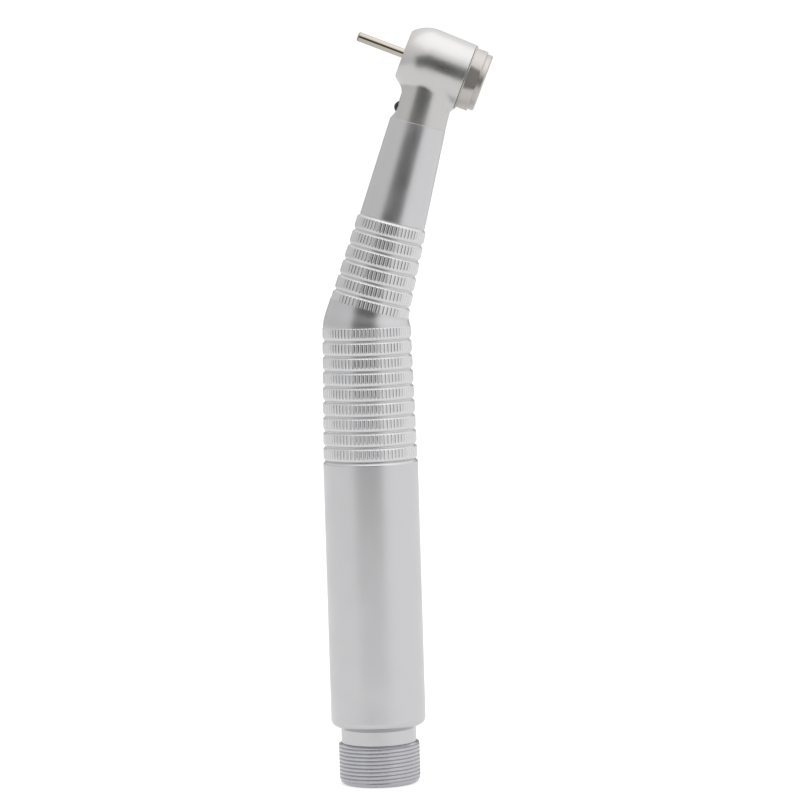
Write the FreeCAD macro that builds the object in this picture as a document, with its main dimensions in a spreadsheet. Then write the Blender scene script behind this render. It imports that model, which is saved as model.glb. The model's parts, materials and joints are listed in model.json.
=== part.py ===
"""High speed dental handpiece, as a parametric document in millimetres.

The row frame has its origin in the middle of the connector's rear rim and +Z along the barrel, towards the
head. The neck leans to +X in the XZ plane and the bur points to -X.

Three local frames share that plane, and every piece is drawn in one of them:
  barrel  the row frame itself
  neck    origin where the two handle axes cross, +Z up the neck towards the head
  head    origin in the middle of the turbine, +Z along the bur axis towards the button, +X down the neck
"""
import FreeCAD, Part
import math
import os
import Sketcher
from FreeCAD import Placement, Rotation, Vector

doc = FreeCAD.newDocument("handpiece")

# --------------------------------------------------------------------------------- driving sizes
SIZES = [
    # handle, outside
    ("barrel_r", 8.0, "radius of the smooth barrel"),
    ("shoulder_z", 9.25, "height where the collar ends and the shoulder begins"),
    ("shoulder_rise", 2.05, "height of the shoulder"),
    ("collar_r", 6.35, "radius of the collar behind the barrel"),
    ("grip_z", 55.0, "height of the lowest grip groove"),
    ("grip_pitch", 2.533, "step from one lower grip ring to the next"),
    ("grip_rings", 9, "rings of the lower grip"),
    ("grip_low_r", 7.95, "crest radius of the lowest ring"),
    ("grip_top_r", 7.43, "crest radius of the highest ring of the lower grip"),
    ("groove_w", 0.7, "width of a grip groove"),
    ("groove_depth", 0.35, "depth of a grip groove"),
    ("bend_gap", 0.6, "height from the last lower ring to the bend point"),
    ("bend_angle", 16.4, "angle between barrel and neck"),
    ("knee_r", 6.8, "radius of the ball that joins barrel and neck"),
    ("finger_z", 1.3, "distance from the bend point to the first upper groove"),
    ("finger_pitch", 2.656, "step from one upper grip ring to the next"),
    ("finger_rings", 6, "rings of the upper grip"),
    ("finger_top_r", 5.88, "crest radius of the highest upper ring"),
    ("neck_low_r", 5.58, "radius of the plain neck above the rings"),
    ("seam_r", 4.75, "radius of the neck at the seam with the head"),
    ("seam_z", 34.1, "distance from the bend point to the seam"),
    # handle, inside
    ("barrel_wall", 1.3, "wall of the smooth barrel"),
    ("ring_wall", 0.8, "least wall under the ring grooves"),
    ("spigot_r", 4.0, "radius of the head's spigot in the neck"),
    ("spigot_len", 4.0, "length of the head's spigot"),
    ("spigot_wall", 0.7, "wall of the spigot"),
    # connector
    ("thread_r", 6.85, "crest radius of the connector thread"),
    ("thread_len", 7.03, "length of the threaded sleeve"),
    ("thread_pitch", 0.635, "thread pitch, 40 to the inch"),
    ("thread_depth", 0.34, "depth of the thread"),
    ("thread_crest", 0.16, "width of the flat on a thread crest"),
    ("rim_r", 5.95, "radius of the rear rim, inside its chamfer"),
    ("rim_rise", 1.4, "length of the rear chamfer"),
    ("cup_r", 5.4, "radius of the connector's cup"),
    ("cup_depth", 5.0, "depth of the cup to the port block"),
    ("plug_r", 5.5, "radius of the connector where it sits in the handle"),
    ("plug_len", 3.5, "length of that seat"),
    ("gasket_t", 1.2, "thickness of the port gasket"),
    ("gasket_gap", 0.05, "gap around the gasket"),
    ("seal_r", 0.3, "section radius of the O-rings"),
    ("seal_slot", 0.7, "width of an O-ring groove"),
    ("port_circle_r", 3.0, "radius of the circle the four ports lie on"),
    ("port_seat", 2.5, "depth a nipple sits in the port block"),
    ("nipple_inset", 0.6, "distance from the rear rim to the nipples' ends"),
    ("nipple_step", 0.25, "how much thicker a nipple is where it is buried"),
    ("exhaust_r", 1.5, "outer radius of the exhaust nipple"),
    ("exhaust_bore", 1.2, "bore radius of the exhaust nipple"),
    ("drive_r", 1.1, "outer radius of the drive air nipple"),
    ("drive_bore", 0.8, "bore radius of the drive air nipple"),
    ("spray_r", 0.75, "outer radius of the chip air and water nipples"),
    ("spray_bore", 0.45, "bore radius of the chip air and water nipples"),
    # tubes in the handle
    ("drive_tube_r", 1.2, "outer radius of the drive air tube"),
    ("spray_tube_r", 0.75, "outer radius of the chip air and water tubes"),
    ("tube_wall", 0.3, "wall of the tubes"),
    ("tube_bend_r", 20.0, "bend radius of the tubes"),
    ("tube_socket", 1.3, "depth the tubes sit in the head"),
    ("drive_x", 1.2, "drive air tube's place across the neck, in the bend plane"),
    ("drive_y", -1.6, "drive air tube's place across the neck, sideways"),
    ("spray_x", -1.9, "spray tubes' place across the neck, in the bend plane"),
    ("spray_y", 0.95, "spray tubes' place across the neck, sideways"),
    ("vent_x", 1.0, "exhaust passage's place in the head stub, in the bend plane"),
    ("vent_y", 1.6, "exhaust passage's place in the head stub, sideways"),
    ("vent_r", 1.2, "radius of the exhaust passage"),
    ("jet_r", 0.7, "radius of the drive air jet"),
    # head, outside
    ("stub_len", 10.2, "distance from the seam to the middle of the turbine"),
    ("head_tilt", 6.0, "how far the bur axis leans past square to the neck"),
    ("head_r", 5.8, "radius of the head"),
    ("head_front", 5.3, "distance from the middle of the turbine to the front face"),
    ("front_flat_r", 4.0, "radius of the flat front face"),
    ("front_round", 4.2, "length of the rounding behind the front face"),
    ("front_round_r", 6.5, "radius of that rounding"),
    ("cap_seam", 5.7, "distance from the middle of the turbine to the cap seam"),
    ("cap_seam_r", 5.62, "radius at the cap seam"),
    ("stub_waist_r", 4.5, "least radius of the head's neck stub"),
    ("stub_root_r", 5.0, "radius of the stub where it meets the head"),
    ("facet_r", 4.45, "distance from the neck axis to the low edge of the facet round the spray jet"),
    ("facet_rise", 1.0, "distance from the seam to that edge"),
    ("facet_len", 2.1, "length of the facet"),
    ("facet_lean", 14.0, "lean of the facet"),
    # head, inside
    ("chamber_r", 4.45, "radius of the turbine chamber"),
    ("chamber_half", 1.95, "half the height of the turbine chamber"),
    ("front_hole_r", 1.95, "radius of the hole the spindle looks out of"),
    ("seat_gap", 0.075, "gap around a bearing in its seat"),
    ("floor_gap", 0.03, "gap between a bearing and the wall it rests on"),
    # spray nozzle
    ("nozzle_r", 0.95, "radius of the spray nozzle"),
    ("nozzle_len", 1.75, "length of the spray nozzle"),
    ("nozzle_rise", 2.05, "distance from the seam to the nozzle's mouth"),
    ("nozzle_out", 4.35, "distance from the neck axis to the nozzle's mouth"),
    ("nozzle_aim", 40.0, "how far the nozzle points up towards the bur"),
    ("nozzle_bore", 0.35, "radius of the nozzle's hole"),
    # cap and button
    ("cap_top", 7.9, "distance from the middle of the turbine to the cap's end"),
    ("cap_top_r", 5.42, "radius of the cap's end"),
    ("flat_w", 4.1, "width of a wrench flat on the cap"),
    ("flat_len", 1.9, "length of a wrench flat"),
    ("web_t", 0.35, "thickness of that web"),
    ("button_r", 4.87, "radius of the push button"),
    ("button_gap", 0.06, "gap around the button and its stem"),
    ("button_rise", 1.0, "how far the button stands out of the cap"),
    ("button_plate", 0.6, "thickness of the button's top"),
    ("button_wall", 0.55, "wall of the button's skirt"),
    ("button_skirt", 2.0, "height of the button's skirt and top"),
    ("button_edge", 0.2, "chamfer of the button"),
    ("stem_r", 1.25, "radius of the button's stem"),
    ("push_gap", 0.3, "free travel from the stem's end to the chuck plunger"),
    ("clip_rise", 0.53, "distance from the stem's end to the web inside the cap"),
    ("clip_gap", 0.05, "gap between the stem's clip and that web"),
    ("clip_r", 2.0, "outer radius of the stem's retaining clip"),
    ("clip_t", 0.25, "thickness of the clip"),
    ("clip_grip", 0.2, "depth of the clip's groove in the stem"),
    ("clip_pocket_r", 2.4, "radius of the pocket the clip moves in"),
    ("button_coil_r", 3.2, "radius of the button spring"),
    ("button_wire_r", 0.15, "wire radius of the button spring"),
    ("button_turn", 0.62, "pitch of the button spring"),
    # bearings
    ("bearing_r", 3.175, "outer radius of a bearing"),
    ("shaft_r", 1.5875, "outer radius of the spindle and bore radius of a bearing"),
    ("bearing_w", 2.38, "width of a bearing"),
    ("bearing_inset", 0.1, "distance from the turbine chamber to a bearing"),
    ("ball_r", 0.5, "radius of a ball"),
    ("ball_count", 7, "balls in a bearing"),
    ("ball_gap", 0.03, "gap around a ball"),
    ("race_in_r", 2.0, "outer radius of an inner ring"),
    ("race_out_r", 2.75, "bore radius of an outer ring"),
    ("cage_half", 0.7, "half the width of a ball cage"),
    ("cage_wall", 0.22, "half the wall of a ball cage"),
    ("shield_t", 0.1, "thickness of a bearing shield"),
    ("shield_gap", 0.06, "gap between a shield and the inner ring"),
    ("washer_wall", 0.6, "width of the preload washer"),
    ("washer_t", 0.3, "thickness of the preload washer"),
    # rotor
    ("spindle_front", 4.95, "distance from the middle of the turbine to the spindle's front end"),
    ("bore_front_r", 1.0, "bore radius of the spindle round the collet"),
    ("bore_rear_r", 1.25, "bore radius of the spindle round the chuck spring"),
    ("bore_step", 1.2, "distance to the step between those bores"),
    ("impeller_r", 4.2, "tip radius of the impeller"),
    ("impeller_half", 1.7, "half the width of the impeller"),
    ("hub_r", 2.1, "hub radius of the impeller"),
    ("blade_count", 9, "blades of the impeller"),
    ("blade_t", 0.38, "thickness of a blade"),
    ("blade_curve", 2.4, "radius of a blade's hollow face"),
    ("plug_t", 0.4, "thickness of the ring that closes the spindle"),
    # chuck and bur
    ("bur_r", 0.8, "radius of the bur's shank"),
    ("bur_tip", 13.5, "distance from the middle of the turbine to the bur's tip"),
    ("bur_len", 16.6, "length of the bur"),
    ("bur_round", 0.25, "rounding of the bur's tip"),
    ("grip_gap", 0.01, "gap between bur and collet"),
    ("slide_gap", 0.05, "gap between collet and spindle, and between plunger and plug"),
    ("collet_front", 4.9, "distance from the middle of the turbine to the collet's front end"),
    ("slot_w", 0.22, "width of a slot between collet fingers"),
    ("slot_len", 4.4, "length of those slots"),
    ("plunger_flange", 0.4, "thickness of the plunger's flange"),
    ("plunger_r", 0.55, "radius of the plunger's stem"),
    ("plunger_gap", 0.08, "gap between the plunger's flange and the ring that closes the spindle"),
    ("plunger_out", 0.4, "how far the plunger stands out of the spindle"),
    ("chuck_wire_r", 0.1, "wire radius of the chuck spring"),
    ("chuck_turn", 0.4, "pitch of the chuck spring"),
]

dim = doc.addObject("Spreadsheet::Sheet", "dim")
for row, (alias, value, meaning) in enumerate(SIZES, start=1):
    dim.set(f"A{row}", meaning)
    dim.set(f"B{row}", str(value))
    dim.setAlias(f"B{row}", alias)
doc.recompute()


def val(expression):
    """The number that an expression gives with the sheet's present sizes."""
    return float(dim.evalExpression(str(expression)))


# places that more than one piece shares, as expressions of the sheet
GRIP_TOP = "dim.grip_z + dim.grip_rings * dim.grip_pitch"
BEND_Z = f"({GRIP_TOP} + dim.bend_gap)"
FINGER_TOP = "(dim.finger_z + dim.finger_rings * dim.finger_pitch)"
PORT_FACE = "dim.cup_depth"
NIPPLE_TOP = "(dim.cup_depth + dim.port_seat)"
PLUG_TOP = "(dim.thread_len + dim.plug_len)"
COLLAR_SEAL_Z = "(dim.thread_len + dim.plug_len / 2)"
NECK_SEAL_Z = "(dim.seam_z - dim.spigot_len / 2)"
STUB_FLOOR = "(dim.seam_z - 0.5)"
NOZZLE_Z = "(dim.seam_z + dim.nozzle_rise)"
SEAT_R = "(dim.bearing_r + dim.seat_gap)"
SEAL_OUT_R = "(dim.bearing_r + 2 * dim.seal_r)"
BEARING_AT = "(dim.chamber_half + dim.bearing_inset + dim.bearing_w / 2)"
BEARING_END = "(dim.chamber_half + dim.bearing_inset + dim.bearing_w)"
WASHER_TOP = f"({BEARING_END} + dim.washer_t)"
PLUNGER_END = f"({BEARING_END} + dim.plunger_out)"
STEM_END = f"({PLUNGER_END} + dim.push_gap)"
WEB_LOW = f"({STEM_END} + dim.clip_rise)"
WEB_TOP = f"({WEB_LOW} + dim.web_t)"
BUTTON_TOP = "(dim.cap_top + dim.button_rise)"
PLATE_UNDER = "(dim.cap_top + dim.button_rise - dim.button_plate)"
PITCH_R = "((dim.bearing_r + dim.shaft_r) / 2)"
POCKET_R = "(dim.ball_r + dim.ball_gap)"
PLUNGER_TOP = f"({BEARING_END} - dim.plug_t - dim.plunger_gap)"
COLLET_REAR = f"({PLUNGER_TOP} - dim.plunger_flange)"
COLLET_R = "(dim.bore_front_r - dim.slide_gap)"
HEAD_AT = "(dim.seam_z + dim.stub_len)"
HEAD_X = f"{HEAD_AT} * sin(dim.bend_angle)"
HEAD_Z = f"({BEND_Z} + {HEAD_AT} * cos(dim.bend_angle))"

# name: (turn about Y, origin x, origin z)
FRAMES = {
    "barrel": ("0", "0", "0"),
    "neck": ("dim.bend_angle", "0", BEND_Z),
    "head": ("(90 + dim.bend_angle + dim.head_tilt)", HEAD_X, HEAD_Z),
}

# name: (outer radius, bore radius, place on the port circle in degrees)
PORTS = {
    "drive_air": ("dim.drive_r", "dim.drive_bore", 0),
    "chip_air": ("dim.spray_r", "dim.spray_bore", 90),
    "exhaust": ("dim.exhaust_r", "dim.exhaust_bore", 180),
    "water": ("dim.spray_r", "dim.spray_bore", 270),
}

pieces = {}


# --------------------------------------------------------------------------------- drawing helpers
def place(thing, frame, x="0", y="0", z="0", turn="0"):
    """Puts an object at a point of a frame, turned about Y from that frame's own directions."""
    angle, base_x, base_z = FRAMES[frame]
    thing.Placement = Placement(Vector(), Rotation(Vector(0, 1, 0), 1))
    thing.setExpression("Placement.Rotation.Angle", f"{angle} + {turn}")
    thing.setExpression("Placement.Base.x", f"{base_x} + ({x}) * cos({angle}) + ({z}) * sin({angle})")
    thing.setExpression("Placement.Base.y", y)
    thing.setExpression("Placement.Base.z", f"{base_z} - ({x}) * sin({angle}) + ({z}) * cos({angle})")
    return thing


def keep(name, thing):
    """Names a finished sub-part."""
    thing.Label = name
    pieces[name] = thing
    return thing


def origin_feature(body, role):
    """A body's own origin plane or axis."""
    return next(item for item in body.Origin.OriginFeatures if item.Role == role)


def new_sketch(body, name, plane="XZ_Plane", height=None):
    """A sketch on one of the body's own planes, lifted along the plane's normal if height is given."""
    sketch = body.newObject("Sketcher::SketchObject", name)
    sketch.AttachmentSupport = [(origin_feature(body, plane), "")]
    sketch.MapMode = "FlatFace"
    if height is not None:
        sketch.setExpression("AttachmentOffset.Base.z", height)
    return sketch


def arc_between(start, end, radius):
    """The shorter arc from start to end; it turns left when radius is above zero."""
    chord = end - start
    left = Vector(-chord.y, chord.x, 0).normalize()
    reach = math.sqrt(max(radius * radius - (chord.Length / 2) ** 2, 0.0))
    centre = (start + end) / 2 + left * math.copysign(reach, radius)
    first, last = (start, end) if radius > 0 else (end, start)
    angles = [math.atan2(point.y - centre.y, point.x - centre.x) for point in (first, last)]
    return Part.ArcOfCircle(Part.Circle(centre, Vector(0, 0, 1), abs(radius)), *angles)


def outline(sketch, points):
    """Closes a sketch through (x, y) expressions; (x, y, radius) is reached by an arc of that radius."""
    places = [Vector(val(point[0]), val(point[1]), 0) for point in points]
    count = len(points)
    shapes, starts, ends = [], [], []
    for index in range(count):
        follower = (index + 1) % count
        radius = val(points[follower][2]) if len(points[follower]) > 2 else 0
        if radius:
            shapes.append(arc_between(places[index], places[follower], radius))
        else:
            shapes.append(Part.LineSegment(places[index], places[follower]))
        starts.append(2 if radius < 0 else 1)
        ends.append(1 if radius < 0 else 2)
    first = sketch.GeometryCount
    sketch.addGeometry(shapes)
    joins = []
    for index in range(count):
        follower = (index + 1) % count
        joins.append(Sketcher.Constraint(
            "Coincident", first + index, ends[index], first + follower, starts[follower]))
    sketch.addConstraint(joins)
    for index, point in enumerate(points):
        for kind, text, axis in (("DistanceX", point[0], -2), ("DistanceY", point[1], -1)):
            if text == "0":
                sketch.addConstraint(
                    Sketcher.Constraint("PointOnObject", first + index, starts[index], axis))
            else:
                number = sketch.addConstraint(
                    Sketcher.Constraint(kind, first + index, starts[index], val(text)))
                sketch.setExpression(f"Constraints[{number}]", text)
        if len(point) > 2:
            number = sketch.addConstraint(
                Sketcher.Constraint("Radius", first + (index - 1) % count, abs(val(point[2]))))
            sketch.setExpression(f"Constraints[{number}]", f"abs({point[2]})")


def circle(sketch, x, y, radius):
    """Adds a circle whose middle and radius are expressions."""
    index = sketch.addGeometry(
        Part.Circle(Vector(val(x), val(y), 0), Vector(0, 0, 1), val(radius)))
    for kind, text, axis in (("DistanceX", x, -2), ("DistanceY", y, -1)):
        if text == "0":
            sketch.addConstraint(Sketcher.Constraint("PointOnObject", index, 3, axis))
        else:
            number = sketch.addConstraint(Sketcher.Constraint(kind, index, 3, val(text)))
            sketch.setExpression(f"Constraints[{number}]", text)
    number = sketch.addConstraint(Sketcher.Constraint("Radius", index, val(radius)))
    sketch.setExpression(f"Constraints[{number}]", radius)


def new_body(name, frame, **where):
    """An empty body placed in a frame."""
    return place(doc.addObject("PartDesign::Body", name), frame, **where)


def turned(name, frame, points, **where):
    """A body turned about its frame's Z from an outline of (radius, height) expressions."""
    body = new_body(name, frame, **where)
    sketch = new_sketch(body, f"{name}_profile")
    outline(sketch, points)
    solid = body.newObject("PartDesign::Revolution", f"{name}_turn")
    solid.Profile = sketch
    solid.ReferenceAxis = (sketch, ["V_Axis"])
    solid.Angle = 360
    doc.recompute()
    return body


def ring(name, frame, inner, outer, low, high, **where):
    """A plain ring or, with inner at zero, a plain disc."""
    points = [(inner, low), (outer, low), (outer, high), (inner, high)]
    return turned(name, frame, points, **where)


def torus(name, frame, radius, section, z):
    """A ring of round section."""
    thing = place(doc.addObject("Part::Torus", name), frame, z=z)
    thing.setExpression("Radius1", radius)
    thing.setExpression("Radius2", section)
    return thing


def peg(name, frame, radius, low, high, x="0", y="0", turn="0"):
    """A cylinder from low to high, used as a cutting tool."""
    thing = place(doc.addObject("Part::Cylinder", name), frame, x=x, y=y, z=low, turn=turn)
    thing.setExpression("Radius", radius)
    thing.setExpression("Height", f"({high}) - ({low})")
    return thing


def ball(name, frame, radius):
    """A sphere at a frame's origin."""
    thing = place(doc.addObject("Part::Sphere", name), frame)
    thing.setExpression("Radius", radius)
    return thing


def joined(name, things):
    """The union of several objects."""
    fuse = doc.addObject("Part::MultiFuse", name)
    fuse.Shapes = things
    return fuse


def cut(name, base, tool):
    """One object with another taken out of it."""
    result = doc.addObject("Part::Cut", name)
    result.Base = base
    result.Tool = tool
    doc.recompute()
    return result


def polar(body, name, feature, count):
    """Repeats a feature round the body's Z axis and makes the pattern the body's tip."""
    pattern = body.newObject("PartDesign::PolarPattern", name)
    pattern.Originals = [feature]
    pattern.Axis = (origin_feature(body, "Z_Axis"), [""])
    pattern.Angle = 360
    pattern.setExpression("Occurrences", count)
    body.Tip = pattern
    doc.recompute()
    return pattern


def pocket(body, name, sketch, depth=None):
    """Cuts a sketch downwards, through all that is there or to a depth."""
    hollow = body.newObject("PartDesign::Pocket", name)
    hollow.Profile = sketch
    if depth is None:
        hollow.Type = "ThroughAll"
    else:
        hollow.setExpression("Length", depth)
    doc.recompute()
    return hollow


def port_place(name):
    """The x and y expressions of a port."""
    angle = PORTS[name][2]
    return f"dim.port_circle_r * {round(math.cos(math.radians(angle)))}", \
        f"dim.port_circle_r * {round(math.sin(math.radians(angle)))}"


# --------------------------------------------------------------------------------- connector
def thread_profile():
    """Outline points of the thread: equal V grooves between flat crests, from the chamfer up."""
    points = [("dim.rim_r", "0"), ("dim.thread_r", "dim.rim_rise")]
    turns = int((val("dim.thread_len") - val("dim.rim_rise")) / val("dim.thread_pitch"))
    for turn in range(turns):
        start = f"dim.rim_rise + {turn} * dim.thread_pitch + dim.thread_crest"
        points.append(("dim.thread_r", start))
        points.append(("dim.thread_r - dim.thread_depth",
                       f"{start} + (dim.thread_pitch - dim.thread_crest) / 2"))
        points.append(("dim.thread_r", f"dim.rim_rise + {turn + 1} * dim.thread_pitch"))
    points.append(("dim.thread_r", f"dim.rim_rise + {turns} * dim.thread_pitch + dim.thread_crest"))
    return points


def make_connector():
    """Threaded sleeve with a cup behind, a port block in the middle and a seat for the handle in front."""
    slot_low = f"{COLLAR_SEAL_Z} - dim.seal_slot / 2"
    slot_high = f"{COLLAR_SEAL_Z} + dim.seal_slot / 2"
    seal_floor = "dim.plug_r - 2 * dim.seal_r"
    points = thread_profile() + [
        ("dim.collar_r", "dim.thread_len"),
        ("dim.plug_r", "dim.thread_len"),
        ("dim.plug_r", slot_low),
        (seal_floor, slot_low),
        (seal_floor, slot_high),
        ("dim.plug_r", slot_high),
        ("dim.plug_r", PLUG_TOP),
        ("0", PLUG_TOP),
        ("0", PORT_FACE),
        ("dim.cup_r", PORT_FACE),
        ("dim.cup_r", "0"),
    ]
    body = turned("connector", "barrel", points)
    sockets = new_sketch(body, "nipple_sockets", "XY_Plane", NIPPLE_TOP)
    for name, (radius, _, _) in PORTS.items():
        circle(sockets, *port_place(name), f"{radius} + dim.nipple_step")
    pocket(body, "nipple_pocket", sockets)
    passages = new_sketch(body, "tube_sockets", "XY_Plane", PLUG_TOP)
    for name, radius in (("drive_air", "dim.drive_tube_r"), ("chip_air", "dim.spray_tube_r"),
                         ("water", "dim.spray_tube_r"), ("exhaust", "dim.exhaust_bore")):
        circle(passages, *port_place(name), radius)
    pocket(body, "tube_pocket", passages)
    keep("connector_body", body)


def make_gasket():
    """Flat rubber disc on the port block, with a hole for each nipple."""
    body = new_body("gasket", "barrel")
    sketch = new_sketch(body, "gasket_outline", "XY_Plane", f"{PORT_FACE} - dim.gasket_t")
    circle(sketch, "0", "0", "dim.cup_r - dim.gasket_gap")
    for name, (radius, _, _) in PORTS.items():
        circle(sketch, *port_place(name), f"{radius} + dim.nipple_step")
    pad = body.newObject("PartDesign::Pad", "gasket_pad")
    pad.Profile = sketch
    pad.setExpression("Length", "dim.gasket_t")
    doc.recompute()
    keep("connector_gasket", body)


def make_nipples():
    """Four tubes with a thicker root, standing in the cup."""
    root = f"{PORT_FACE} - dim.gasket_t"
    for name, (radius, bore, _) in PORTS.items():
        x, y = port_place(name)
        points = [
            (bore, "dim.nipple_inset"),
            (radius, "dim.nipple_inset"),
            (radius, root),
            (f"{radius} + dim.nipple_step", root),
            (f"{radius} + dim.nipple_step", NIPPLE_TOP),
            (bore, NIPPLE_TOP),
        ]
        keep(f"{name}_nipple", turned(f"{name}_nipple_body", "barrel", points, x=x, y=y))


# --------------------------------------------------------------------------------- handle
def grooved(points, low, step, count, first_r, last_r):
    """Adds a stack of V grooved rings whose crests run in a straight line from first_r to last_r."""
    for index in range(count):
        at = f"{low} + {index} * {step}"
        crest = f"{first_r} - ({first_r} - {last_r}) * {index} / {count}"
        points.append((crest, at))
        points.append((f"{crest} - dim.groove_depth", f"{at} + dim.groove_w / 2"))
        points.append((crest, f"{at} + dim.groove_w"))
    points.append((last_r, f"{low} + {count} * {step}"))


def make_handle():
    """Barrel, knee and neck in one shell: the union of three solids less the union of their hollows."""
    lower = [
        ("0", "dim.thread_len"),
        ("dim.collar_r", "dim.thread_len"),
        ("dim.collar_r", "dim.shoulder_z"),
        ("dim.barrel_r", "dim.shoulder_z + dim.shoulder_rise", "dim.shoulder_rise * 1.1"),
        ("dim.barrel_r", "dim.grip_z - dim.groove_w"),
    ]
    grooved(lower, "dim.grip_z", "dim.grip_pitch", int(val("dim.grip_rings")),
            "dim.grip_low_r", "dim.grip_top_r")
    lower += [("dim.knee_r", BEND_Z), ("0", BEND_Z)]
    upper = [("0", "0"), ("dim.knee_r", "0")]
    grooved(upper, "dim.finger_z", "dim.finger_pitch", int(val("dim.finger_rings")),
            "dim.knee_r", "dim.finger_top_r")
    upper += [("dim.neck_low_r", FINGER_TOP), ("dim.seam_r", "dim.seam_z"), ("0", "dim.seam_z")]
    outside = joined("handle_outside", [
        turned("barrel_outside", "barrel", lower),
        turned("neck_outside", "neck", upper),
        ball("knee_outside", "neck", "dim.knee_r"),
    ])
    knee_bore = "(dim.knee_r - dim.groove_depth - dim.ring_wall)"
    socket_low = "(dim.seam_z - dim.spigot_len)"
    lower_bore = [
        ("0", "dim.thread_len - 1"),
        ("dim.plug_r", "dim.thread_len - 1"),
        ("dim.plug_r", PLUG_TOP),
        ("dim.barrel_r - dim.barrel_wall", f"{PLUG_TOP} + dim.barrel_wall"),
        ("dim.barrel_r - dim.barrel_wall", "dim.grip_z - dim.grip_pitch"),
        ("dim.grip_top_r - dim.groove_depth - dim.ring_wall", GRIP_TOP),
        (knee_bore, BEND_Z),
        ("0", BEND_Z),
    ]
    upper_bore = [
        ("0", "0"),
        (knee_bore, "0"),
        ("dim.finger_top_r - dim.groove_depth - dim.ring_wall", FINGER_TOP),
        ("dim.spigot_r + 0.2", socket_low),
        ("dim.spigot_r", socket_low),
        ("dim.spigot_r", "dim.seam_z + 1"),
        ("0", "dim.seam_z + 1"),
    ]
    inside = joined("handle_inside", [
        turned("barrel_inside", "barrel", lower_bore),
        turned("neck_inside", "neck", upper_bore),
        ball("knee_inside", "neck", knee_bore),
    ])
    keep("handle_shell", cut("handle", outside, inside))


# --------------------------------------------------------------------------------- tubes in the handle
def neck_point(x, y, z):
    """A point of the neck frame as a vector in the row frame."""
    lean = math.radians(val("dim.bend_angle"))
    return Vector(x * math.cos(lean) + z * math.sin(lean), y,
                  val(BEND_Z) - x * math.sin(lean) + z * math.cos(lean))


def rounded_path(points, radius):
    """Straight runs joined by tangent arcs."""
    edges = []
    start = points[0]
    for before, corner, after in zip(points, points[1:], points[2:]):
        arrive = (corner - before).normalize()
        leave = (after - corner).normalize()
        half = arrive.getAngle(leave) / 2
        reach = radius * math.tan(half)
        enter = corner - arrive * reach
        depart = corner + leave * reach
        middle = corner + (leave - arrive).normalize() * radius * (1 / math.cos(half) - 1)
        edges.append(Part.LineSegment(start, enter).toShape())
        edges.append(Part.Arc(enter, middle, depart).toShape())
        start = depart
    edges.append(Part.LineSegment(start, points[-1]).toShape())
    return Part.Wire(edges)


def tube_shape(path, radius, bore):
    """A round tube along a path."""
    start = path.Edges[0].valueAt(path.Edges[0].FirstParameter)
    heading = path.Edges[0].tangentAt(path.Edges[0].FirstParameter)
    solids = []
    for size in (radius, bore):
        profile = Part.Wire(Part.Circle(start, heading, size).toShape())
        solids.append(path.makePipeShell([profile], True, False))
    shape = solids[0].cut(solids[1])
    ideal = math.pi * (radius ** 2 - bore ** 2) * path.Length
    print(f"tube volume {shape.Volume:.2f}, section times length {ideal:.2f}")
    return shape


def make_tubes():
    """Air and water lines from the port block, past the knee, into the head's stub."""
    bottom = val(NIPPLE_TOP)
    top = val(STUB_FLOOR) + val("dim.tube_socket")
    circle_r = val("dim.port_circle_r")
    knee = val(BEND_Z)
    routes = {
        "drive_air": ((circle_r, 0), (val("dim.drive_x"), val("dim.drive_y")), "dim.drive_tube_r"),
        "chip_air": ((0, circle_r), (val("dim.spray_x"), val("dim.spray_y")), "dim.spray_tube_r"),
        "water": ((0, -circle_r), (val("dim.spray_x"), -val("dim.spray_y")), "dim.spray_tube_r"),
    }
    for name, (port, across, radius) in routes.items():
        points = [
            Vector(*port, bottom),
            Vector(*port, knee * 0.86),
            neck_point(*across, val("dim.seam_z") * 0.42),
            neck_point(*across, top),
        ]
        tube = doc.addObject("Part::Feature", f"{name}_tube_shape")
        outer = val(radius)
        tube.Shape = tube_shape(rounded_path(points, val("dim.tube_bend_r")), outer,
                                outer - val("dim.tube_wall"))
        tube.Placement = Placement()
        keep(f"{name}_tube", tube)


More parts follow.
